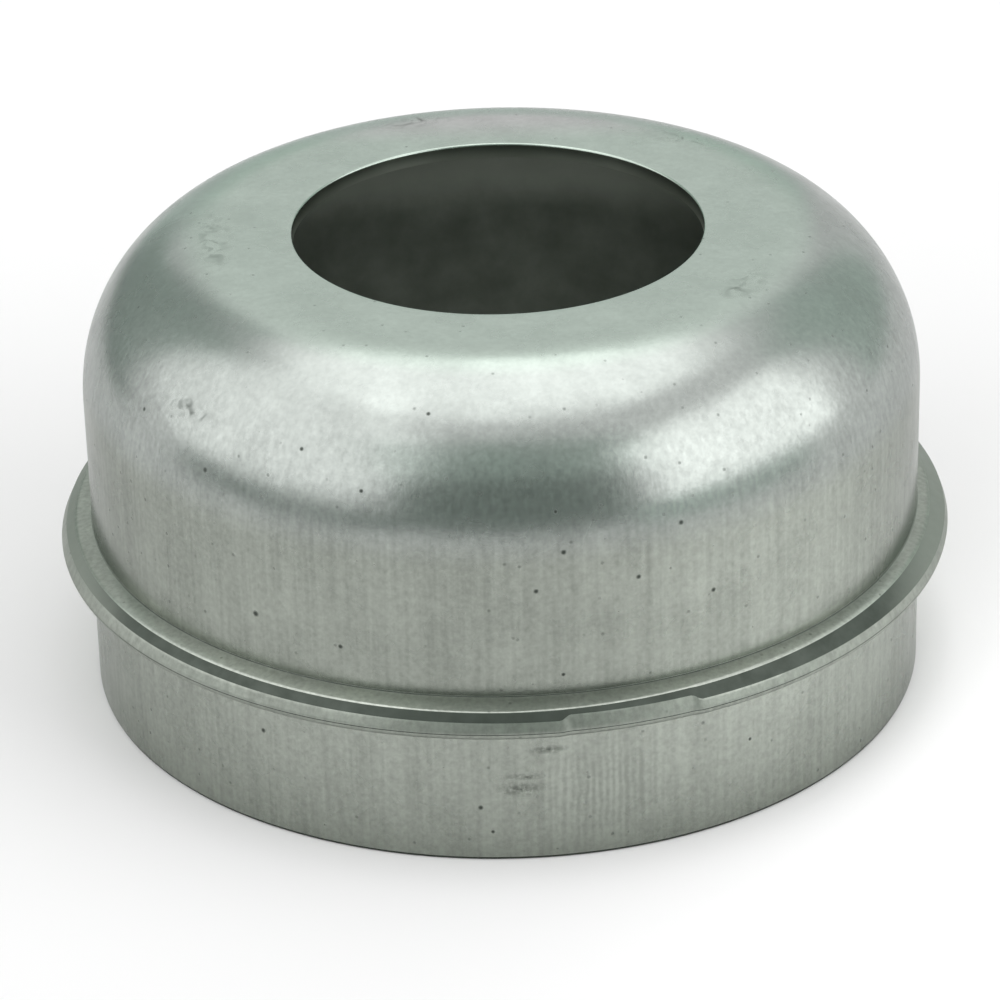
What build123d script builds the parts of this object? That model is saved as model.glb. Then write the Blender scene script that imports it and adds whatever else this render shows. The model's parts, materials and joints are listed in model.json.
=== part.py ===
# Hub grease cap: one shell drawn from sheet steel, with a flange folded out of its wall.
# Millimetres, +Z up. The cap stands on its open rim, and Z is the axis of the shell.

import os

from build123d import *

# Driving dimensions
sheet = 0.9  # thickness of the steel
skirt_diameter = 50.3  # outside of the skirt that is driven into the hub
skirt_height = 8.8  # from the rim to the underside of the flange
rim_edge = 0.2  # rounding of the two edges of the trimmed rim
lower_bend = 0.3  # inside corner where the skirt turns out into the flange
upper_bend = 0.08  # inside corner where the flange turns up into the wall
seam_land = 0.5  # flat ring where the two layers of the flange lie on each other
seam_gap = 0.06  # slit left between the two layers
fold_edge = 0.5  # rounding of the fold under the outer edge of the flange
face_inset = 0.25  # how far the outer face of the fold leans in on its way up
bevel_inset = 0.34  # how far the pressed bevel goes in above that face
bevel_drop = 0.52  # height of the bevel
bevel_edge = 0.12  # rounding between the bevel and the top of the flange
top_fall = 0.24  # how far the top of the flange falls from the wall to the bevel
wall_step = 0.15  # how far the wall lies inside the line of the skirt
wall_height = 7.94  # from the flange to the start of the shoulder
shoulder_rise = 9.6  # height of the curve from the wall to the flat crown
crown_land = 4.1  # flat ring between the shoulder and the plug hole
hole_diameter = 24.3  # hole in the crown that takes the plug
hole_roll = 0.12  # edge of the hole drawn down by the punch

# Radii, from the axis outwards
hole_radius = hole_diameter / 2
crown_radius = hole_radius + crown_land
skirt_radius = skirt_diameter / 2
wall_radius = skirt_radius - wall_step
shoulder_reach = wall_radius - crown_radius
fold_radius = sheet + seam_gap / 2
lower_bend_radius = skirt_radius + lower_bend
upper_bend_radius = wall_radius + upper_bend
fold_centre_radius = max(lower_bend_radius, upper_bend_radius) + seam_land
flange_radius = fold_centre_radius + fold_radius
bevel_foot_radius = flange_radius - face_inset
bevel_top_radius = bevel_foot_radius - bevel_inset

# Heights, from the rim upwards
lower_bend_height = skirt_height - lower_bend
fold_height = skirt_height + fold_radius
flange_height = skirt_height + 2 * fold_radius
bevel_top_height = flange_height - top_fall
bevel_foot_height = bevel_top_height - bevel_drop
upper_bend_height = flange_height + upper_bend
shoulder_height = flange_height + wall_height
crown_height = shoulder_height + shoulder_rise

# Centres of the round stretches of the section
lower_bend_centre = (lower_bend_radius, lower_bend_height)
upper_bend_centre = (upper_bend_radius, upper_bend_height)
fold_edge_centre = (flange_radius - fold_edge, skirt_height + fold_edge)
seam_end = (fold_centre_radius, fold_height)
shoulder_centre = (crown_radius, shoulder_height)

with BuildPart() as cap:
    with BuildSketch(Plane.XZ) as section:
        with BuildLine():
            # Outer surface, from the rim up to the plug hole
            skirt_out = Line((skirt_radius, 0), (skirt_radius, lower_bend_height))
            lower_bend_out = CenterArc(lower_bend_centre, lower_bend, 180, -90)
            fold_out = CenterArc(fold_edge_centre, fold_edge, -90, 90)
            underside = Line(lower_bend_out @ 1, fold_out @ 0)
            fold_face = Line(fold_out @ 1, (bevel_foot_radius, bevel_foot_height))
            bevel = Line(fold_face @ 1, (bevel_top_radius, bevel_top_height))
            flange_top = Line(bevel @ 1, (wall_radius, flange_height))
            wall_out = Line(flange_top @ 1, (wall_radius, shoulder_height))
            shoulder_out = EllipticalCenterArc(
                shoulder_centre, shoulder_reach, shoulder_rise, arc_size=90
            )
            crown_out = Line(shoulder_out @ 1, (hole_radius, crown_height))
            # Inner surface, one sheet behind, back down to the rim
            hole_edge = Line(crown_out @ 1, (hole_radius, crown_height - sheet))
            crown_in = Line(hole_edge @ 1, (crown_radius, crown_height - sheet))
            shoulder_in = EllipticalCenterArc(
                shoulder_centre,
                shoulder_reach - sheet,
                shoulder_rise - sheet,
                start_angle=90,
                arc_size=-90,
            )
            wall_in = Line(shoulder_in @ 1, (wall_radius - sheet, upper_bend_height))
            upper_bend_in = CenterArc(upper_bend_centre, upper_bend + sheet, 180, 90)
            seam_top = Line(upper_bend_in @ 1, (fold_centre_radius, flange_height - sheet))
            fold_in = CenterArc(seam_end, seam_gap / 2, 90, -180)
            seam_bottom = Line(fold_in @ 1, (lower_bend_radius, skirt_height + sheet))
            lower_bend_in = CenterArc(lower_bend_centre, lower_bend + sheet, 90, 90)
            skirt_in = Line(lower_bend_in @ 1, (skirt_radius - sheet, 0))
            rim = Line(skirt_in @ 1, skirt_out @ 0)
        make_face()
        # The top of the flange is rounded at the bevel and where it meets the wall
        fillet(section.vertices().sort_by_distance(bevel @ 1)[0], radius=bevel_edge)
        fillet(section.vertices().sort_by_distance(flange_top @ 1)[0], radius=upper_bend)
    revolve(axis=Axis.Z)

    # Trimmed rim, rounded on its inner and outer edge
    fillet(cap.edges().group_by(Axis.Z)[0], radius=rim_edge)

    # Plug hole, with its upper edge drawn down
    hole_mouth = cap.edges().group_by(Axis.Z)[-1].sort_by(SortBy.RADIUS)[0]
    fillet(hole_mouth, radius=hole_roll)

cap.part.label = "cap"

os.makedirs("parts", exist_ok=True)
export_step(cap.part, "parts/cap.step")
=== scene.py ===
"""Hub grease cap: the zinc-plated shell with its marks of use, and a plain studio around it."""

import json
import math
from collections import namedtuple

import bpy
from mathutils import Matrix, Vector, noise


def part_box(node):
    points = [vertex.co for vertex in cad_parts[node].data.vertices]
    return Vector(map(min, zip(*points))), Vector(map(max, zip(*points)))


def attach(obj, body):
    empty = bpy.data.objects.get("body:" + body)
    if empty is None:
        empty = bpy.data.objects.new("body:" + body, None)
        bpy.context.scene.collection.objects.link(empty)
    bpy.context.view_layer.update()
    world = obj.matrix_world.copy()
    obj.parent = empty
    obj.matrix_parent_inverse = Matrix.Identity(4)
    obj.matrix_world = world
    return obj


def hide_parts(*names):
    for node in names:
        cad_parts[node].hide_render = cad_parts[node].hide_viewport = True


bl_info = {
    "name": "Hub Grease Cap",
    "version": (1, 0, 0),
    "blender": (4, 5, 0),
    "location": "3D View > Sidebar > Grease Cap",
    "description": "Builds a zinc-plated hub grease cap and a plain studio around it",
    "category": "Object",
}

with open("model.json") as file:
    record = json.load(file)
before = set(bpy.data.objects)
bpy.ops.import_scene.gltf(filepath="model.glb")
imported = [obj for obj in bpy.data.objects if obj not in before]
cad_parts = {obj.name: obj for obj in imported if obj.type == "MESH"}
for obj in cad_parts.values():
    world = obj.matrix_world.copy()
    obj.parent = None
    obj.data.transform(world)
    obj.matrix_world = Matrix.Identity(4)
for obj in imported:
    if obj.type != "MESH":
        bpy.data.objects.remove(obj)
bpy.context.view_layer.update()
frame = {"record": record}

MM = 0.001
MOUNTS = {mount["name"]: mount for mount in frame["record"]["mounts"]}
CAP_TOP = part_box("cap")[1]


# Settings

def length(name, description, metres):
    """A setting that is a length."""
    return bpy.props.FloatProperty(
        name=name, description=description, default=metres, subtype="DISTANCE", unit="LENGTH"
    )


def angle(name, description, degrees):
    """A setting that is an angle."""
    return bpy.props.FloatProperty(
        name=name,
        description=description,
        default=math.radians(degrees),
        subtype="ANGLE",
        unit="ROTATION",
    )


def share(name, description, value):
    """A setting between 0 and 1."""
    return bpy.props.FloatProperty(
        name=name, description=description, default=value, subtype="FACTOR", min=0, max=1
    )


def colour(name, description, hex_colour):
    """A colour setting, given in sRGB."""
    return bpy.props.FloatVectorProperty(
        name=name,
        description=description,
        default=linear(hex_colour),
        subtype="COLOR",
        min=0,
        max=1,
    )


def linear(hex_colour):
    """Linear RGB of an sRGB hex colour."""
    parts = [int(hex_colour[place:place + 2], 16) / 255 for place in (1, 3, 5)]
    return [c / 12.92 if c <= 0.04045 else ((c + 0.055) / 1.055) ** 2.4 for c in parts]


class CapSizes(bpy.types.PropertyGroup):
    """Section of the shell and the marks of the press on it."""

    skirt_radius: length(
        "Skirt radius",
        "Outside of the skirt that is driven into the hub",
        MOUNTS["skirt"]["dims"]["r_mm"] * MM,
    )
    hole_radius: length(
        "Hole radius",
        "Hole in the crown that takes the plug",
        MOUNTS["plug_hole"]["dims"]["r_mm"] * MM,
    )
    flange_radius: length("Flange radius", "Outer edge of the folded flange", CAP_TOP.x)
    skirt_height: length(
        "Skirt height",
        "From the rim to the underside of the flange",
        MOUNTS["flange_seat"]["pos_m"][2],
    )
    crown_height: length("Crown height", "From the rim to the flat crown", CAP_TOP.z)
    sheet: length("Sheet", "Thickness of the steel", 0.9 * MM)
    seam_gap: length("Seam gap", "Slit between the two layers of the flange", 0.06 * MM)
    wall_step: length("Wall step", "How far the wall lies inside the line of the skirt", 0.15 * MM)
    shoulder_rise: length("Shoulder rise", "Height of the curve from the wall to the crown", 9.6 * MM)
    crown_land: length("Crown land", "Flat ring between the shoulder and the hole", 4.1 * MM)
    lower_bend: length("Lower bend", "Inside corner between the skirt and the flange", 0.3 * MM)
    upper_bend: length("Upper bend", "Inside corner between the flange and the wall", 0.08 * MM)
    fold_edge: length("Fold edge", "Rounding under the outer edge of the flange", 0.5 * MM)
    face_inset: length("Face inset", "How far the flange's outer face leans in", 0.25 * MM)
    bevel_inset: length("Bevel inset", "How far the pressed bevel goes in above that face", 0.34 * MM)
    bevel_drop: length("Bevel drop", "Height of the bevel", 0.52 * MM)
    bevel_edge: length("Bevel edge", "Rounding between the bevel and the flange's top", 0.12 * MM)
    top_fall: length("Top fall", "How far the flange's top falls from wall to bevel", 0.24 * MM)
    bevel_lean: share("Bevel lean", "How much deeper the bevel comes down on the right", 0.2)
    bevel_slide: length("Bevel slide", "How far the bevel goes in at the sides", 0.5 * MM)
    bevel_skew: length("Bevel skew", "How much further in it goes on the right", 0.15 * MM)
    hole_roll: length("Hole roll", "Edge of the hole drawn down by the punch", 0.12 * MM)
    rim_edge: length("Rim edge", "Rounding of the two edges of the trimmed rim", 0.2 * MM)
    mark_from: angle("Mark from", "Bearing where the pressed mark on the flange starts", 6.7)
    mark_to: angle("Mark to", "Bearing where the pressed mark on the flange ends", 23.3)
    mark_ramp: angle("Mark ramp", "Bearing over which each end of the mark slopes", 1.4)
    mark_depth: length("Mark depth", "How far the mark pushes in the edge of the flange", 0.1 * MM)
    mark_cut: share("Mark cut", "How much of the bevel the mark takes away", 0.5)
    unevenness: length("Unevenness", "Height of the slow waves that drawing leaves", 0.012 * MM)

    @property
    def wall_radius(self):
        """Outside of the wall above the flange."""
        return self.skirt_radius - self.wall_step

    @property
    def flange_height(self):
        """Where the flange's top meets the wall."""
        return self.skirt_height + 2 * self.sheet + self.seam_gap

    @property
    def crown_radius(self):
        """Outer edge of the flat crown."""
        return self.hole_radius + self.crown_land

    @property
    def shoulder_height(self):
        """Where the wall turns into the shoulder."""
        return self.crown_height - self.shoulder_rise

    def outer_point(self, bearing, height):
        """Point on the outside of the shell, above or below the flange."""
        radius = self.skirt_radius if height < self.skirt_height else self.wall_radius
        if height > self.shoulder_height:
            climb = (height - self.shoulder_height) / self.shoulder_rise
            reach = self.wall_radius - self.crown_radius
            radius = self.crown_radius + reach * math.sqrt(1 - climb * climb)
        return (radius * math.sin(bearing), -radius * math.cos(bearing), height)


class CapFinish(bpy.types.PropertyGroup):
    """Colours and gloss of the steel and its plating."""

    # Painted reflection: the crown's greener tint, and the neutral colour at its back, stand in for
    # the room that the crown mirrors
    crown_zinc_painted_reflection: colour("Crown zinc", "Bright zinc on the crown, with a greener film", "#AAB6AD")
    far_painted_reflection: colour("Far zinc", "Bright zinc at the back of the crown, without the film", "#B6B6B5")
    # Painted light: the shoulder is neutral so that the lamps' reflections on it come out white
    shoulder_zinc: colour("Shoulder zinc", "Bright zinc on the shoulder", "#A3A8A4")
    # Painted light on the flange's top, and painted shade in the corner above it and at the left and
    # right of the flange's top
    flange_painted_light: colour("Flange zinc", "Burnished zinc on top of the flange", "#B0B5AD")
    corner_painted_shade: colour("Corner zinc", "Stained zinc in the corner above the flange", "#949991")
    # Painted light and shade: the wall is darker and the skirt lighter, in place of the dimmer and
    # brighter floor that each mirrors
    wall_zinc: colour("Wall zinc", "Bright zinc on the wall", "#999E96")
    skirt_zinc: colour("Skirt zinc", "Bright zinc on the skirt", "#A4A9A1")
    pit: colour("Pit", "Dark bottom of the pits in the zinc", "#3F443F")
    # Dark dull steel: a dark band on the bevel, and painted shade in the corner above the flange,
    # under its fold and round the rim
    rubbed: colour("Rubbed steel", "Steel where the zinc is rubbed off", "#555B55")
    darkened_patch: colour("Rubbed shade", "Darker patches of the rubbed steel", "#4B514B")
    inner_zinc: colour("Inner zinc", "Thin zinc on the inside", "#8A9187")
    # Dull patches inside, and painted shade up the cut edge of the hole; above them, painted light
    # near the hole
    inner_dull_and_painted_shade: colour("Inner shade", "Dull patches of the zinc on the inside", "#787F75")
    inner_painted_light: colour("Inner top", "Brighter zinc inside, near the hole", "#BCC3B8")
    edge_tint: share("Edge tint", "How much of a glancing mirror image the zinc keeps", 0.8)
    roughness: share("Roughness", "Roughness of the outside", 0.26)
    pressed_roughness: share("Pressed roughness", "Roughness of the flange", 0.42)
    rubbed_roughness: share("Rubbed roughness", "Roughness of the rubbed steel", 0.55)
    inner_roughness: share("Inner roughness", "Roughness of the inside", 0.36)


class CapStage(bpy.types.PropertyGroup):
    """Camera and floor."""

    camera_elevation: angle("Elevation", "How far the camera looks down", 27.81)
    camera_roll: angle("Roll", "How far the camera leans to its left", 1.369)
    camera_distance: length("Distance", "From the camera to the point it is aimed at", 269.28 * MM)
    camera_lens: bpy.props.FloatProperty(
        name="Lens",
        description="Focal length on a sensor 36 mm wide",
        default=159.3,
        subtype="DISTANCE_CAMERA",
        unit="CAMERA",
    )
    aim: bpy.props.FloatVectorProperty(
        name="Aim",
        description="Point that the camera is aimed at",
        default=(-0.254 * MM, 0, 9.889 * MM),
        subtype="TRANSLATION",
        unit="LENGTH",
    )
    floor_colour: colour("Floor", "Matt white floor", "#F3F3F3")
    ambient: share("Ambient", "Light that the white surroundings give to matt surfaces", 0.6)


# Materials

# Marks of use on the outside: bearings in degrees from the front to the right, sizes in millimetres
Pit = namedtuple("Pit", "bearing height width")
Rub = namedtuple("Rub", "bearing height width rise")

PITS = (
    Pit(-58, 23.0, 0.32),
    Pit(-43, 21.7, 0.40),
    Pit(-34.5, 13.9, 0.46),
    Pit(-34, 6.4, 0.36),
    Pit(-28.5, 24.2, 0.30),
    Pit(-22, 13.1, 0.34),
    Pit(-19, 22.7, 0.28),
    Pit(-11, 26.4, 0.30),
    Pit(-4, 3.5, 0.36),
    Pit(-2.5, 1.9, 0.28),
    Pit(3.7, 17.3, 0.34),
    Pit(6.5, 21.9, 0.28),
    Pit(7, 11.9, 0.28),
    Pit(7.3, 19.6, 0.36),
    Pit(17, 17.5, 0.34),
    Pit(23, 20.3, 0.36),
    Pit(27.5, 15.6, 0.34),
    Pit(33, 5.2, 0.26),
)
SCRATCHES = (
    Rub(1.2, 4.7, 3.0, 1.1),
    Rub(1.8, 5.5, 2.6, 0.5),
    Rub(4.8, 7.2, 2.6, 0.6),
)
SMEARS = (
    Rub(57.5, 28.19, 5, 2.4),
    Rub(138, 28.19, 6, 2),
    Rub(-163, 28.18, 6, 2.4),
    Rub(-86, 28.19, 9, 2.2),
    Rub(-49, 24.2, 6, 1.6),
)
RIPPLES = (Rub(11.5, 4.1, 9, 8),)

# Sizes of the patterns in millimetres; real grains of zinc are about 0.05 mm, too small to show,
# so they are drawn coarser
GRAIN = 0.35
DIE_LINE_WIDTH = 0.35
DIE_LINE_LENGTH = 10.5
RIPPLE = 0.4
CLOUD = 4
WISP = 1.2
SPECK_SPACING = 1.3
INNER_PATCH = 3
RUBBED_PATCH = 1.5
FLOOR_MOTTLE = 48
RELIEF = 0.004

# Most of a noise pattern lies between these two values
NOISE_LOW = 0.3
NOISE_HIGH = 0.7


def add_node(tree, kind, inputs=None, **settings):
    """Adds a node, sets its fields, and fills or links its inputs by name or number."""
    node = tree.nodes.new(kind)
    for field, value in settings.items():
        setattr(node, field, value)
    for place, value in (inputs or {}).items():
        if isinstance(value, bpy.types.NodeSocket):
            tree.links.new(value, node.inputs[place])
        else:
            node.inputs[place].default_value = value
    return node


def per_metre(size_mm):
    """Scale of a pattern whose features are that many millimetres wide."""
    return 1 / (size_mm * MM)


def opaque(tint):
    """A colour with full cover, as the nodes take it."""
    return (*tint, 1)


def new_material(name):
    """An empty node material; returns it with its tree."""
    material = bpy.data.materials.new(name)
    material.use_nodes = True
    material.node_tree.nodes.clear()
    return material, material.node_tree


def spots(tree, place, sizes, rubs):
    """Soft oval spots on the outside: 1 in the middle of each, 0 from its edge on."""
    nearest = 0
    for rub in rubs:
        bearing = math.radians(rub.bearing)
        half_width = rub.width * MM / 2
        half_rise = rub.rise * MM / 2
        from_middle = add_node(
            tree,
            "ShaderNodeMapping",
            {
                "Vector": place,
                "Location": sizes.outer_point(bearing, rub.height * MM),
                "Rotation": (0, 0, bearing),
                "Scale": (half_width, half_rise, half_rise),
            },
            vector_type="TEXTURE",
        ).outputs["Vector"]
        spot = add_node(
            tree, "ShaderNodeTexGradient", {"Vector": from_middle}, gradient_type="SPHERICAL"
        ).outputs["Fac"]
        nearest = add_node(
            tree, "ShaderNodeMath", {0: nearest, 1: spot}, operation="MAXIMUM"
        ).outputs[0]
    return nearest


def sideways(tree, place, sizes, start, end, most):
    """Grows to the left and right: 0 up to one share of the flange's radius, most from another."""
    across = add_node(tree, "ShaderNodeSeparateXYZ", {"Vector": place}).outputs["X"]
    aside = add_node(tree, "ShaderNodeMath", {0: across}, operation="ABSOLUTE").outputs[0]
    return add_node(
        tree,
        "ShaderNodeMapRange",
        {
            "Value": aside,
            "From Min": sizes.flange_radius * start,
            "From Max": sizes.flange_radius * end,
            "To Max": most,
        },
        interpolation_type="SMOOTHSTEP",
    ).outputs["Result"]


def banded(tree, place, lowest, bands):
    """A colour that changes upwards, to each band's own between its two heights."""
    height = add_node(tree, "ShaderNodeSeparateXYZ", {"Vector": place}).outputs["Z"]
    seen = lowest
    for shade, low, high in bands:
        climb = add_node(
            tree,
            "ShaderNodeMapRange",
            {"Value": height, "From Min": low, "From Max": high},
            interpolation_type="SMOOTHSTEP",
        ).outputs["Result"]
        seen = add_node(
            tree, "ShaderNodeMix", {0: climb, 6: seen, 7: shade}, data_type="RGBA"
        ).outputs[2]
    return seen


def metal_grain(tree, place):
    """Fine grain that the zinc and the rubbed steel share."""
    return add_node(
        tree,
        "ShaderNodeTexNoise",
        {"Vector": place, "Scale": per_metre(GRAIN), "Detail": 2, "Roughness": 0.7},
    ).outputs["Fac"]


def finish_metal(tree, seen, roughness, relief, edge_tint=1):
    """Ends a material as a metal of that colour, roughness and relief."""
    surface = add_node(
        tree, "ShaderNodeBump", {"Height": relief, "Strength": 1, "Distance": RELIEF * MM}
    ).outputs["Normal"]
    shader = add_node(
        tree,
        "ShaderNodeBsdfPrincipled",
        {
            "Base Color": seen,
            "Metallic": 1,
            "Roughness": roughness,
            "Specular Tint": opaque([edge_tint] * 3),
            "Normal": surface,
        },
    ).outputs["BSDF"]
    add_node(tree, "ShaderNodeOutputMaterial", {"Surface": shader})


def drawn_relief(tree, place, sizes, grain):
    """Relief of the drawn zinc: its grain, lines up the walls from the die, and ripples."""
    line_strength = 0.8
    mean_relief = (1 + line_strength) / 2
    crown_calm = 0.7
    ripple_strength = 0.25
    across_line = per_metre(DIE_LINE_WIDTH)
    along_draw = add_node(
        tree,
        "ShaderNodeMapping",
        {"Vector": place, "Scale": (across_line, across_line, per_metre(DIE_LINE_LENGTH))},
    ).outputs["Vector"]
    lines = add_node(
        tree, "ShaderNodeTexNoise", {"Vector": along_draw, "Scale": 1, "Detail": 2}
    ).outputs["Fac"]
    drawn = add_node(
        tree, "ShaderNodeMath", {0: lines, 1: line_strength, 2: grain}, operation="MULTIPLY_ADD"
    ).outputs[0]
    # The crown was stretched less than the walls and stayed smoother
    height = add_node(tree, "ShaderNodeSeparateXYZ", {"Vector": place}).outputs["Z"]
    calm = add_node(
        tree,
        "ShaderNodeMapRange",
        {
            "Value": height,
            "From Min": sizes.shoulder_height + sizes.shoulder_rise / 2,
            "From Max": sizes.crown_height,
            "To Max": crown_calm,
        },
    ).outputs["Result"]
    fine = add_node(tree, "ShaderNodeMix", {0: calm, 2: drawn, 3: mean_relief}).outputs[0]
    # A patch of upright ripples on the skirt; the wave node draws a band every pi / 10 of its scale
    ripple = add_node(
        tree,
        "ShaderNodeTexWave",
        {
            "Vector": place,
            "Scale": per_metre(RIPPLE) * math.pi / 10,
            "Distortion": 3,
            "Detail": 1,
            "Detail Scale": 0.7,
        },
    ).outputs["Fac"]
    swing = add_node(
        tree,
        "ShaderNodeMapRange",
        {"Value": ripple, "To Min": -ripple_strength, "To Max": ripple_strength},
    ).outputs["Result"]
    rippled = spots(tree, place, sizes, RIPPLES)
    return add_node(
        tree, "ShaderNodeMath", {0: rippled, 1: swing, 2: fine}, operation="MULTIPLY_ADD"
    ).outputs[0]


def zinc_colour_painted_light(tree, place, sizes, finish):
    """Colour of the zinc, which changes a little from the skirt up to the crown; these changes are
    painted light and shade.
    """
    wall_zinc = opaque(finish.wall_zinc)
    corner_painted_shade = opaque(finish.corner_painted_shade)
    shoulder_zinc = opaque(finish.shoulder_zinc)
    # Painted shade: the flange's top turns to the corner's darker colour towards the left and right
    side_shade = sideways(tree, place, sizes, start=0.78, end=0.9, most=1)
    flange_painted_light = add_node(
        tree,
        "ShaderNodeMix",
        {0: side_shade, 6: opaque(finish.flange_painted_light), 7: corner_painted_shade},
        data_type="RGBA",
    ).outputs[2]
    # Painted reflection: the crown's greener tint turns neutral towards its back edge
    depth = add_node(tree, "ShaderNodeSeparateXYZ", {"Vector": place}).outputs["Y"]
    to_back = add_node(
        tree,
        "ShaderNodeMapRange",
        {"Value": depth, "From Min": sizes.hole_radius, "From Max": sizes.crown_radius},
        interpolation_type="SMOOTHSTEP",
    ).outputs["Result"]
    crown_zinc_painted_reflection = add_node(
        tree,
        "ShaderNodeMix",
        {0: to_back, 6: opaque(finish.crown_zinc_painted_reflection), 7: opaque(finish.far_painted_reflection)},
        data_type="RGBA",
    ).outputs[2]
    flange_edge = sizes.flange_height - sizes.top_fall
    shoulder_foot = sizes.shoulder_height
    # Each band is painted light or shade: a lighter skirt, a darker wall, a lighter flange top, a
    # darker corner, a neutral shoulder and a greener crown
    bands = (
        (wall_zinc, sizes.skirt_height, sizes.skirt_height + sizes.fold_edge),
        (flange_painted_light, flange_edge - sizes.top_fall, flange_edge),
        (corner_painted_shade, flange_edge, sizes.flange_height),
        (wall_zinc, sizes.flange_height, sizes.flange_height + sizes.sheet / 2),
        (shoulder_zinc, shoulder_foot, shoulder_foot + sizes.shoulder_rise / 4),
        (crown_zinc_painted_reflection, sizes.crown_height - sizes.shoulder_rise / 16, sizes.crown_height),
    )
    return banded(tree, place, opaque(finish.skirt_zinc), bands)


def dark_marks(tree, place, sizes, grain):
    """How much of the zinc is lost in pits, specks, scratches and smears, from 0 to 1."""
    pit_core = 0.6
    pit_dark = 0.9
    speck_core = 0.03
    speck_edge = 0.10
    speck_dark = 0.45
    rub_dark = 0.75
    pits = spots(tree, place, sizes, [Rub(*pit, pit.width) for pit in PITS])
    in_pit = add_node(
        tree, "ShaderNodeMapRange", {"Value": pits, "From Max": pit_core, "To Max": pit_dark}
    ).outputs["Result"]
    from_speck = add_node(
        tree, "ShaderNodeTexVoronoi", {"Vector": place, "Scale": per_metre(SPECK_SPACING)}
    ).outputs["Distance"]
    in_speck = add_node(
        tree,
        "ShaderNodeMapRange",
        {
            "Value": from_speck,
            "From Min": speck_core,
            "From Max": speck_edge,
            "To Min": speck_dark,
            "To Max": 0,
        },
    ).outputs["Result"]
    dark = add_node(
        tree, "ShaderNodeMath", {0: in_pit, 1: in_speck}, operation="MAXIMUM"
    ).outputs[0]
    wisps = add_node(
        tree,
        "ShaderNodeTexNoise",
        {"Vector": place, "Scale": per_metre(WISP), "Detail": 3, "Distortion": 1.5},
    ).outputs["Fac"]
    for rubs, pattern, low, high in ((SCRATCHES, grain, 0.3, 0.6), (SMEARS, wisps, 0.47, 0.68)):
        torn = add_node(
            tree,
            "ShaderNodeMapRange",
            {"Value": pattern, "From Min": low, "From Max": high, "To Max": rub_dark},
        ).outputs["Result"]
        rubbed = spots(tree, place, sizes, rubs)
        in_rub = add_node(
            tree, "ShaderNodeMath", {0: rubbed, 1: torn}, operation="MULTIPLY"
        ).outputs[0]
        dark = add_node(
            tree, "ShaderNodeMath", {0: dark, 1: in_rub}, operation="MAXIMUM"
        ).outputs[0]
    return dark


def zinc_plate(name, sizes, finish, roughness):
    """Zinc electroplate over deep-drawn sheet steel.

    The zinc follows the steel, so the eye sees a satin metal with a fine grain, faint lines up the
    walls where the die dragged, painted light and shade that change its colour from skirt to crown
    (the greener tint on the crown is painted reflection), and dark pits, specks and rubs.
    """
    cloud_strength = 0.75
    mean_tone = 1.27
    tone_swing = 0.35
    sheen_swing = 0.18
    roughness_swing = 0.15
    material, tree = new_material(name)
    place = add_node(tree, "ShaderNodeTexCoord").outputs["Object"]
    grain = metal_grain(tree, place)
    relief = drawn_relief(tree, place, sizes, grain)
    clouds = add_node(
        tree,
        "ShaderNodeTexNoise",
        {"Vector": place, "Scale": per_metre(CLOUD), "Detail": 3, "Roughness": 0.6},
    ).outputs["Fac"]
    tone = add_node(
        tree, "ShaderNodeMath", {0: clouds, 1: cloud_strength, 2: relief}, operation="MULTIPLY_ADD"
    ).outputs[0]
    sheen = add_node(
        tree,
        "ShaderNodeMapRange",
        {
            "Value": tone,
            "From Min": mean_tone - tone_swing,
            "From Max": mean_tone + tone_swing,
            "To Min": 1 + sheen_swing,
            "To Max": 1 - sheen_swing,
        },
    ).outputs["Result"]
    plate = add_node(
        tree,
        "ShaderNodeMix",
        {0: 1, 6: zinc_colour_painted_light(tree, place, sizes, finish), 7: sheen},
        data_type="RGBA",
        blend_type="MULTIPLY",
    ).outputs[2]
    dark = dark_marks(tree, place, sizes, grain)
    seen = add_node(
        tree, "ShaderNodeMix", {0: dark, 6: plate, 7: opaque(finish.pit)}, data_type="RGBA"
    ).outputs[2]
    # The zinc is duller in the dark clouds, and dull in the marks
    dull = add_node(
        tree,
        "ShaderNodeMapRange",
        {
            "Value": clouds,
            "From Min": NOISE_LOW,
            "From Max": NOISE_HIGH,
            "To Min": roughness * (1 - roughness_swing),
            "To Max": roughness * (1 + roughness_swing),
        },
    ).outputs["Result"]
    gloss = add_node(
        tree, "ShaderNodeMix", {0: dark, 2: dull, 3: finish.rubbed_roughness}
    ).outputs[0]
    finish_metal(tree, seen, gloss, relief, finish.edge_tint)
    return material


def bright_zinc(sizes, finish):
    """Bright zinc on the drawn surfaces: a satin metal that shows the room as soft fields."""
    return zinc_plate("bright_zinc_plate_on_drawn_steel", sizes, finish, finish.roughness)


def matt_zinc(sizes, finish):
    """Zinc on the flange, roughened by the press: a duller metal with wide, weak lights."""
    return zinc_plate("matt_zinc_plate_on_pressed_flange", sizes, finish, finish.pressed_roughness)


def blotches(tree, place, patch_mm, roughness):
    """Soft patches from 0 to 1, and the roughness of a metal that is duller in them."""
    roughness_swing = 0.1
    cloudy = add_node(
        tree,
        "ShaderNodeTexNoise",
        {"Vector": place, "Scale": per_metre(patch_mm), "Detail": 4, "Roughness": 0.6},
    ).outputs["Fac"]
    patches = add_node(
        tree,
        "ShaderNodeMapRange",
        {"Value": cloudy, "From Min": NOISE_LOW, "From Max": NOISE_HIGH},
    ).outputs["Result"]
    dull = add_node(
        tree,
        "ShaderNodeMapRange",
        {
            "Value": patches,
            "To Min": roughness * (1 - roughness_swing),
            "To Max": roughness * (1 + roughness_swing),
        },
    ).outputs["Result"]
    return patches, dull


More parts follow.
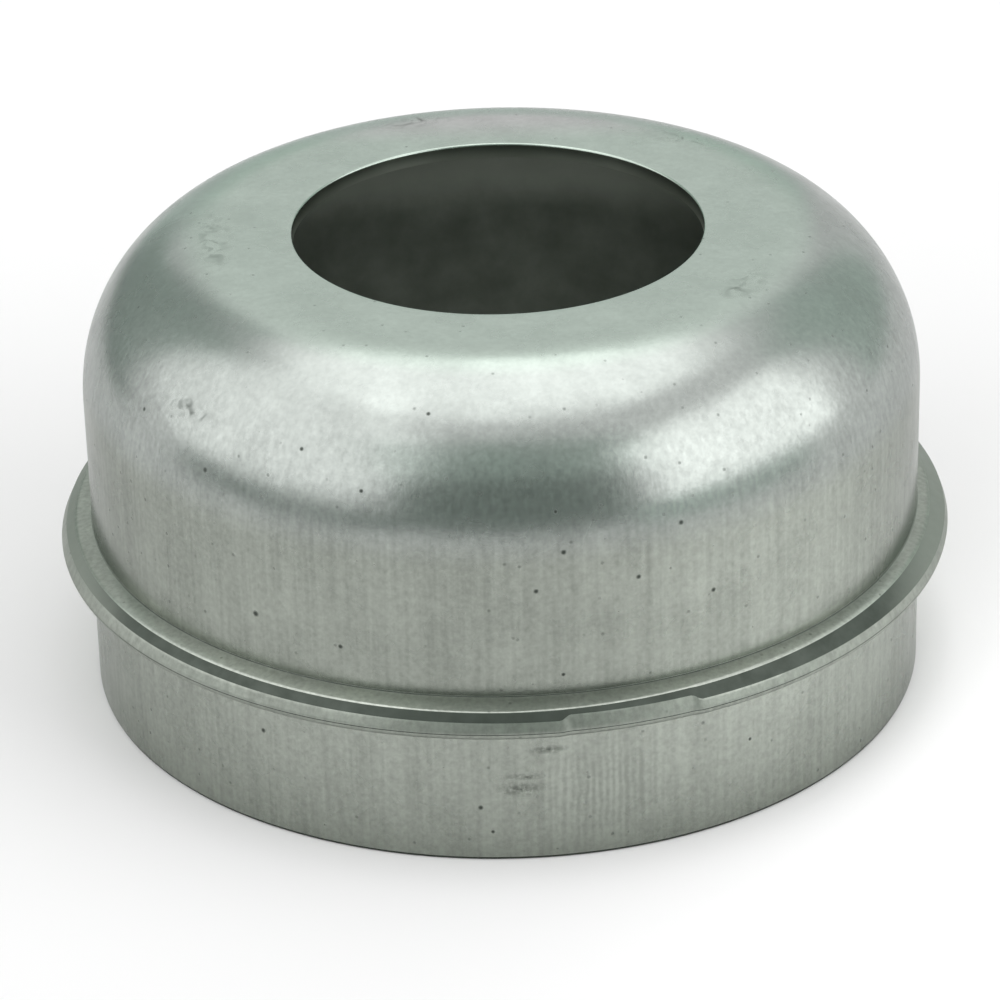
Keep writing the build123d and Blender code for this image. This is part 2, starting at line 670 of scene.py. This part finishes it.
def thin_zinc(sizes, finish):
    """Thin zinc on the inside, where the bath throws little metal.

    It gives the eye a greyer metal than the outside, with soft blotches, painted light that makes it
    brighter near the hole, and painted shade that makes it darker up the edge that the punch cut.
    """
    material, tree = new_material("thin_zinc_plate_inside")
    place = add_node(tree, "ShaderNodeTexCoord").outputs["Object"]
    patches, dull = blotches(tree, place, INNER_PATCH, finish.inner_roughness)
    inner_dull_and_painted_shade = opaque(finish.inner_dull_and_painted_shade)
    thin = add_node(
        tree,
        "ShaderNodeMix",
        {0: patches, 6: opaque(finish.inner_zinc), 7: inner_dull_and_painted_shade},
        data_type="RGBA",
    ).outputs[2]
    # Painted light from half way up the shoulder towards the hole, and painted shade up the cut edge
    half_way_up = sizes.shoulder_height + sizes.shoulder_rise / 2
    bands = (
        (opaque(finish.inner_painted_light), sizes.shoulder_height, half_way_up),
        (inner_dull_and_painted_shade, sizes.crown_height - sizes.sheet, sizes.crown_height - sizes.hole_roll),
    )
    seen = banded(tree, place, thin, bands)
    finish_metal(tree, seen, dull, metal_grain(tree, place))
    return material


def dark_band_and_painted_shade(sizes, finish):
    """Dark dull steel on the bevel, and painted shade as thin dark lines in the corner above the
    flange, under its fold and round the rim.

    It gives the eye a dull, dark band on the bevel that fades into the wall's colour towards the left
    and right.
    """
    material, tree = new_material("rubbed_steel_edge")
    place = add_node(tree, "ShaderNodeTexCoord").outputs["Object"]
    patches, dull = blotches(tree, place, RUBBED_PATCH, finish.rubbed_roughness)
    steel = add_node(
        tree,
        "ShaderNodeMix",
        {0: patches, 6: opaque(finish.rubbed), 7: opaque(finish.darkened_patch)},
        data_type="RGBA",
    ).outputs[2]
    # The dark band fades into the wall's colour towards the left and right
    faded = sideways(tree, place, sizes, start=0.78, end=0.95, most=0.75)
    seen = add_node(
        tree, "ShaderNodeMix", {0: faded, 6: steel, 7: opaque(finish.wall_zinc)}, data_type="RGBA"
    ).outputs[2]
    finish_metal(tree, seen, dull, metal_grain(tree, place))
    return material


# Shell

# Numbers of the shell's materials
PLATE, MATT, DARKENED, LINING = range(4)

Stretch = namedtuple("Stretch", "finish points")


def run(start, end, steps=6):
    """Points of a straight stretch of the section, without its last."""
    return [
        tuple(a + (b - a) * step / steps for a, b in zip(start, end))
        for step in range(steps)
    ]


def arc(centre, reach, rise, start, sweep, steps=6):
    """Points of an elliptical stretch of the section, without its last; angles in degrees."""
    angles = [math.radians(start + sweep * step / steps) for step in range(steps)]
    return [
        (centre[0] + reach * math.cos(turn), centre[1] + rise * math.sin(turn))
        for turn in angles
    ]


def rounded(before, corner, after, radius, steps=6):
    """Points of the arc that rounds off a corner of the section, with its last."""
    back = (Vector(before) - Vector(corner)).normalized()
    on = (Vector(after) - Vector(corner)).normalized()
    half = back.angle(on) / 2
    centre = Vector(corner) + (back + on).normalized() * (radius / math.sin(half))
    first = Vector(corner) + back * (radius / math.tan(half)) - centre
    last = Vector(corner) + on * (radius / math.tan(half)) - centre
    sweep = math.copysign(math.pi - 2 * half, first.cross(last))
    return [
        tuple(centre + Matrix.Rotation(sweep * step / steps, 2) @ first)
        for step in range(steps + 1)
    ]


def cap_section(sizes, reach, bevel_share, slide):
    """Section of the shell as (radius, height) points: up the outside, then down the inside."""
    sheet = sizes.sheet
    fold = sheet + sizes.seam_gap / 2
    wall_radius = sizes.wall_radius
    crown_radius = sizes.crown_radius
    shoulder_height = sizes.shoulder_height
    shoulder_reach = wall_radius - crown_radius
    flange_height = sizes.flange_height
    under_crown = sizes.crown_height - sheet
    fold_centre = (reach - sizes.fold_edge, sizes.skirt_height + sizes.fold_edge)
    seam_end = (sizes.flange_radius - fold, sizes.skirt_height + fold)
    lower_centre = (sizes.skirt_radius + sizes.lower_bend, sizes.skirt_height - sizes.lower_bend)
    upper_centre = (wall_radius + sizes.upper_bend, flange_height + sizes.upper_bend)
    shoulder_centre = (crown_radius, shoulder_height)
    roll_centre = (sizes.hole_radius + sizes.hole_roll, sizes.crown_height - sizes.hole_roll)
    rim_out = (sizes.skirt_radius - sizes.rim_edge, sizes.rim_edge)
    rim_in = (sizes.skirt_radius - sheet + sizes.rim_edge, sizes.rim_edge)
    inner_wall = wall_radius - sheet
    inner_skirt = sizes.skirt_radius - sheet

    corner = (wall_radius, flange_height)
    top_width = sizes.flange_radius - sizes.face_inset - sizes.bevel_inset - wall_radius
    top_height = flange_height - sizes.top_fall
    bevel_top = (wall_radius + top_width - slide, top_height + sizes.top_fall * slide / top_width)
    bevel_foot = (
        wall_radius + top_width + sizes.bevel_inset * bevel_share,
        top_height - sizes.bevel_drop * bevel_share,
    )
    edge = rounded(bevel_foot, bevel_top, corner, sizes.bevel_edge + slide)
    bend = rounded(bevel_top, corner, (wall_radius, shoulder_height), sizes.upper_bend, steps=8)
    # The line in the corner is painted shade, dark up to this step of the bend
    dark_to = 6

    rim = [
        *run((rim_in[0], 0), (rim_out[0], 0), steps=3),
        *arc(rim_out, sizes.rim_edge, sizes.rim_edge, -90, 90),
    ]
    skirt_foot = (sizes.skirt_radius, sizes.rim_edge)
    skirt = run(skirt_foot, (sizes.skirt_radius, lower_centre[1]), steps=16)
    underside = [
        *arc(lower_centre, sizes.lower_bend, sizes.lower_bend, 180, -90),
        *run((lower_centre[0], sizes.skirt_height), (fold_centre[0], sizes.skirt_height), steps=2),
    ]
    fold_edge = arc(fold_centre, sizes.fold_edge, sizes.fold_edge, -90, 90, steps=15)
    flange_top = [*edge, *run(edge[-1], bend[0], steps=4)[1:]]
    crown_edge = (crown_radius, sizes.crown_height)
    wall_and_crown = [
        *run(bend[-1], (wall_radius, shoulder_height), steps=14),
        *arc(shoulder_centre, shoulder_reach, sizes.shoulder_rise, 0, 90, steps=40),
        *run(crown_edge, (roll_centre[0], sizes.crown_height), steps=10),
        *arc(roll_centre, sizes.hole_roll, sizes.hole_roll, 90, 90),
    ]
    hole_cut = run((sizes.hole_radius, roll_centre[1]), (sizes.hole_radius, under_crown))
    inner_reach = shoulder_reach - sheet
    inner_rise = sizes.shoulder_rise - sheet
    inside = [
        *run((sizes.hole_radius, under_crown), (crown_radius, under_crown)),
        *arc(shoulder_centre, inner_reach, inner_rise, 90, -90, steps=18),
        *run((inner_wall, shoulder_height), (inner_wall, upper_centre[1])),
        *arc(upper_centre, sizes.upper_bend + sheet, sizes.upper_bend + sheet, 180, 90),
        (upper_centre[0], flange_height - sheet),
        *arc(seam_end, sizes.seam_gap / 2, sizes.seam_gap / 2, 90, -180, steps=4),
        (seam_end[0], sizes.skirt_height + sheet),
        *arc(lower_centre, sizes.lower_bend + sheet, sizes.lower_bend + sheet, 90, 90),
        *run((inner_skirt, lower_centre[1]), (inner_skirt, sizes.rim_edge)),
    ]
    return (
        # Dark steel: round the rim, under the fold and in the corner it is painted shade; on the
        # bevel it is a dark band
        Stretch(DARKENED, rim),
        Stretch(PLATE, skirt),
        Stretch(MATT, [*underside, *fold_edge[:-1]]),
        Stretch(DARKENED, fold_edge[-1:]),
        Stretch(MATT, run((reach, fold_centre[1]), bevel_foot, steps=4)),
        Stretch(DARKENED, run(bevel_foot, edge[0])),
        Stretch(MATT, [*flange_top, bend[0]]),
        Stretch(DARKENED, bend[1:dark_to]),
        Stretch(MATT, bend[dark_to:-1]),
        Stretch(PLATE, wall_and_crown),
        Stretch(LINING, [*hole_cut, *inside]),
        Stretch(DARKENED, arc(rim_in, sizes.rim_edge, sizes.rim_edge, 180, 90)),
    )


def bearings(sizes, columns):
    """Bearings of the lathe's columns, with extra ones at the ends of the pressed mark."""
    even = [math.tau * column / columns - math.pi for column in range(columns)]
    ramp_parts = (-0.5, -0.2, 0.2, 0.5)
    extra = [
        end + sizes.mark_ramp * part
        for end in (sizes.mark_from, sizes.mark_to)
        for part in ramp_parts
    ]
    return sorted(even + extra)


def ramp(value, low, high):
    """Smooth step from 0 at low to 1 at high."""
    part = min(1, max(0, (value - low) / (high - low)))
    return part * part * (3 - 2 * part)


def shell_mesh(sizes, columns):
    """Turns the section round the axis, with the pressed mark and the waves of the sheet."""
    mark_end = sizes.mark_ramp / 2
    wave_width = 7 * MM
    smooth_up_to = math.radians(28)
    vertices = []
    around = bearings(sizes, columns)
    for bearing in around:
        pressed = ramp(bearing, sizes.mark_from - mark_end, sizes.mark_from + mark_end)
        pressed -= ramp(bearing, sizes.mark_to - mark_end, sizes.mark_to + mark_end)
        reach = sizes.flange_radius - sizes.mark_depth * pressed
        aside = math.sin(bearing)
        bevel_share = (1 + sizes.bevel_lean * aside) * (1 - sizes.mark_cut * pressed)
        slide = sizes.bevel_slide * abs(aside) + sizes.bevel_skew * aside
        section = cap_section(sizes, reach, bevel_share, slide)
        for radius, height in [point for stretch in section for point in stretch.points]:
            spot = Vector((radius * math.sin(bearing), -radius * math.cos(bearing), height))
            wave = noise.noise(spot / wave_width) * sizes.unevenness
            radius = min(radius + wave, reach)
            vertices.append((radius * math.sin(bearing), -radius * math.cos(bearing), height))
    finishes = [stretch.finish for stretch in section for _ in stretch.points]
    along = len(finishes)
    faces = []
    for column in range(len(around)):
        here = column * along
        beside = (column + 1) % len(around) * along
        for point in range(along):
            after = (point + 1) % along
            faces.append((here + point, beside + point, beside + after, here + after))
    mesh = bpy.data.meshes.new("cap_shell")
    mesh.from_pydata(vertices, [], faces)
    mesh.polygons.foreach_set("material_index", finishes * len(around))
    mesh.set_sharp_from_angle(angle=smooth_up_to)
    mesh.update()
    return mesh


# Stage

# Lamps and grey cards: bearing from the front and elevation in degrees, sizes in metres, and a level
# where 1 is the white around them
Board = namedtuple("Board", "name shape bearing elevation distance width height level")

LAMPS = (
    Board("overhead_lamp", "ELLIPSE", 180, 79, 0.61, 0.66, 0.71, 1.25),
    Board("right_lamp", "RECTANGLE", 70, 26, 0.6, 0.66, 0.47, 1.3),
    Board("left_lamp", "ELLIPSE", -72, 36, 0.6, 1.0, 0.80, 0.75),
)
# Shines straight down on the floor at the right, and isn't seen in the metal
FILL = Board("floor_lamp", "RECTANGLE", 65, 50, 0.078, 0.05, 0.05, 0.5)
FILL_SPREAD = math.radians(50)
FLAGS = (
    Board("camera_flag", "RECTANGLE", 2, 13, 0.8, 0.98, 0.54, 0.3),
    Board("camera_flag_top", "RECTANGLE", 2, 44, 0.82, 0.98, 0.36, 0.55),
    Board("front_fence", "RECTANGLE", 0, 4.6, 0.25, 0.24, 0.06, 0.3),
    Board("left_fence", "RECTANGLE", -57, 2.8, 0.17, 0.2, 0.036, 0.33),
    Board("right_fence", "RECTANGLE", 57, 2.8, 0.17, 0.16, 0.036, 0.65),
    Board("back_left_flag", "RECTANGLE", -137, 24, 0.8, 0.46, 0.72, 0.52),
    Board("back_low_flag", "RECTANGLE", -150, 5, 0.82, 0.27, 0.25, 0.5),
    Board("back_left_fence", "RECTANGLE", -135, 1.5, 0.2, 0.15, 0.03, 0.4),
    Board("back_fence", "RECTANGLE", -168, 1.5, 0.2, 0.1, 0.03, 0.85),
    Board("back_flag", "RECTANGLE", -172, 8, 0.9, 0.8, 0.3, 0.85),
    Board("back_right_flag", "RECTANGLE", 133, 23, 0.8, 0.50, 0.68, 0.71),
)
FLAG_TINT = (0.85, 1, 0.92)
FLOOR_HALF = 0.6


def put_board(thing, board, aim):
    """Sets a lamp or a flag on its bearing, facing the cap."""
    bearing = math.radians(board.bearing)
    elevation = math.radians(board.elevation)
    away = Vector((
        math.sin(bearing) * math.cos(elevation),
        -math.cos(bearing) * math.cos(elevation),
        math.sin(elevation),
    ))
    thing.location = aim + away * board.distance
    thing.rotation_euler = away.to_track_quat("Z", "Y").to_euler()
    thing.visible_camera = False
    bpy.context.scene.collection.objects.link(thing)


def add_lamp(board, aim):
    """A soft box whose face adds the board's level to the white around it."""
    data = bpy.data.lights.new(board.name, "AREA")
    data.shape = board.shape
    data.size = board.width
    data.size_y = board.height
    face = board.width * board.height
    if board.shape == "ELLIPSE":
        face *= math.pi / 4
    data.energy = board.level * math.pi * face
    lamp = bpy.data.objects.new(board.name, data)
    put_board(lamp, board, aim)
    return lamp


def flat_piece(name, half_width, half_height, material):
    """A flat rectangle round the origin."""
    corners = [(-1, -1), (1, -1), (1, 1), (-1, 1)]
    mesh = bpy.data.meshes.new(name)
    mesh.from_pydata([(x * half_width, y * half_height, 0) for x, y in corners], [], [(0, 1, 2, 3)])
    mesh.materials.append(material)
    return bpy.data.objects.new(name, mesh)


def add_flag(board, aim):
    """A grey card that the metal shows as a darker field."""
    material, tree = new_material(board.name)
    glow = add_node(
        tree, "ShaderNodeEmission", {"Color": opaque(FLAG_TINT), "Strength": board.level}
    ).outputs["Emission"]
    add_node(tree, "ShaderNodeOutputMaterial", {"Surface": glow})
    flag = flat_piece(board.name, board.width / 2, board.height / 2, material)
    put_board(flag, board, aim)
    flag.visible_diffuse = False
    flag.visible_shadow = False


def add_floor(shade):
    """Matt white floor that takes the cap's soft shadow and fades into the white around it."""
    material, tree = new_material("matt_white_floor")
    # The pattern's own coordinates run from 0 to 1 across the floor
    mottle = add_node(
        tree,
        "ShaderNodeTexNoise",
        {"Scale": 2 * FLOOR_HALF * per_metre(FLOOR_MOTTLE), "Detail": 2},
    ).outputs["Fac"]
    roughness = add_node(
        tree, "ShaderNodeMapRange", {"Value": mottle, "To Min": 0.9, "To Max": 1}
    ).outputs["Result"]
    matt = add_node(
        tree, "ShaderNodeBsdfDiffuse", {"Color": opaque(shade), "Roughness": roughness}
    ).outputs["BSDF"]
    place = add_node(tree, "ShaderNodeTexCoord").outputs["Object"]
    away = add_node(
        tree, "ShaderNodeVectorMath", {0: place}, operation="LENGTH"
    ).outputs["Value"]
    faded = add_node(
        tree,
        "ShaderNodeMapRange",
        {"Value": away, "From Min": FLOOR_HALF / 2, "From Max": FLOOR_HALF},
        interpolation_type="SMOOTHSTEP",
    ).outputs["Result"]
    clear = add_node(tree, "ShaderNodeBsdfTransparent").outputs["BSDF"]
    shader = add_node(
        tree, "ShaderNodeMixShader", {0: faded, 1: matt, 2: clear}
    ).outputs["Shader"]
    add_node(tree, "ShaderNodeOutputMaterial", {"Surface": shader})
    floor = flat_piece("floor", FLOOR_HALF, FLOOR_HALF, material)
    bpy.context.scene.collection.objects.link(floor)


def add_world(ambient):
    """White surroundings, as the camera and the metal see them, and a weaker light from them."""
    world = bpy.data.worlds.new("white_surroundings")
    world.use_nodes = True
    tree = world.node_tree
    tree.nodes.clear()
    ray = add_node(tree, "ShaderNodeLightPath").outputs
    mirrored = add_node(
        tree,
        "ShaderNodeMath",
        {0: ray["Is Glossy Ray"], 1: ray["Is Transmission Ray"]},
        operation="MAXIMUM",
    ).outputs[0]
    seen = add_node(
        tree, "ShaderNodeMath", {0: ray["Is Camera Ray"], 1: mirrored}, operation="MAXIMUM"
    ).outputs[0]
    strength = add_node(
        tree, "ShaderNodeMapRange", {"Value": seen, "To Min": ambient, "To Max": 1}
    ).outputs["Result"]
    white = add_node(
        tree, "ShaderNodeBackground", {"Color": (1, 1, 1, 1), "Strength": strength}
    ).outputs["Background"]
    add_node(tree, "ShaderNodeOutputWorld", {"Surface": white})
    bpy.context.scene.world = world


def add_camera(stage):
    """Camera that looks down at the front of the cap, leaning a little to its left."""
    data = bpy.data.cameras.new("camera")
    data.lens = stage.camera_lens
    data.sensor_width = 36
    data.clip_start = 0.01
    camera = bpy.data.objects.new("camera", data)
    look_down = Matrix.Rotation(math.pi / 2 - stage.camera_elevation, 4, "X")
    lean = Matrix.Rotation(-stage.camera_roll, 4, "Z")
    back = Matrix.Translation((0, 0, stage.camera_distance))
    camera.matrix_world = Matrix.Translation(stage.aim) @ look_down @ lean @ back
    bpy.context.scene.collection.objects.link(camera)
    bpy.context.scene.camera = camera


# Operators

class GREASE_CAP_OT_shell(bpy.types.Operator):
    """Builds the plated shell in place of the plain part"""

    bl_idname = "grease_cap.shell"
    bl_label = "Build Cap Shell"

    def execute(self, context):
        scene = context.scene
        mesh = shell_mesh(scene.cap_sizes, columns=400)
        mesh.materials.append(bright_zinc(scene.cap_sizes, scene.cap_finish))
        mesh.materials.append(matt_zinc(scene.cap_sizes, scene.cap_finish))
        mesh.materials.append(dark_band_and_painted_shade(scene.cap_sizes, scene.cap_finish))
        mesh.materials.append(thin_zinc(scene.cap_sizes, scene.cap_finish))
        shell = bpy.data.objects.new("cap_shell", mesh)
        scene.collection.objects.link(shell)
        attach(shell, "root")
        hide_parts("cap")
        return {"FINISHED"}


class GREASE_CAP_OT_stage(bpy.types.Operator):
    """Builds the floor, the lamps, the flags and the camera"""

    bl_idname = "grease_cap.stage"
    bl_label = "Build Stage"

    def execute(self, context):
        scene = context.scene
        aim = Vector(scene.cap_stage.aim)
        add_world(scene.cap_stage.ambient)
        add_floor(scene.cap_stage.floor_colour)
        for board in LAMPS:
            add_lamp(board, aim)
        floor_lamp = add_lamp(FILL, aim)
        floor_lamp.rotation_euler = (0, 0, 0)
        floor_lamp.data.spread = FILL_SPREAD
        floor_lamp.visible_glossy = False
        for board in FLAGS:
            add_flag(board, aim)
        add_camera(scene.cap_stage)
        scene.view_settings.view_transform = "Standard"
        return {"FINISHED"}


class GREASE_CAP_PT_panel(bpy.types.Panel):
    """Sizes, finish and stage of the grease cap"""

    bl_idname = "GREASE_CAP_PT_panel"
    bl_label = "Hub Grease Cap"
    bl_space_type = "VIEW_3D"
    bl_region_type = "UI"
    bl_category = "Grease Cap"

    def draw(self, context):
        layout = self.layout
        for operator in OPERATORS:
            layout.operator(operator.bl_idname)
        for group in ("cap_sizes", "cap_finish", "cap_stage"):
            settings = getattr(context.scene, group)
            column = layout.column()
            for name in settings.bl_rna.properties.keys():
                if name not in ("rna_type", "name"):
                    column.prop(settings, name)


OPERATORS = (GREASE_CAP_OT_shell, GREASE_CAP_OT_stage)
CLASSES = (CapSizes, CapFinish, CapStage, *OPERATORS, GREASE_CAP_PT_panel)


def register():
    """Registers the classes and gives each scene its settings."""
    for made in CLASSES:
        bpy.utils.register_class(made)
    bpy.types.Scene.cap_sizes = bpy.props.PointerProperty(type=CapSizes)
    bpy.types.Scene.cap_finish = bpy.props.PointerProperty(type=CapFinish)
    bpy.types.Scene.cap_stage = bpy.props.PointerProperty(type=CapStage)


def unregister():
    """Takes the settings and the classes away again."""
    del bpy.types.Scene.cap_stage
    del bpy.types.Scene.cap_finish
    del bpy.types.Scene.cap_sizes
    for made in reversed(CLASSES):
        bpy.utils.unregister_class(made)


def main():
    """Builds the cap and its stage."""
    register()
    bpy.ops.grease_cap.shell()
    bpy.ops.grease_cap.stage()


if __name__ == "__main__":
    main()
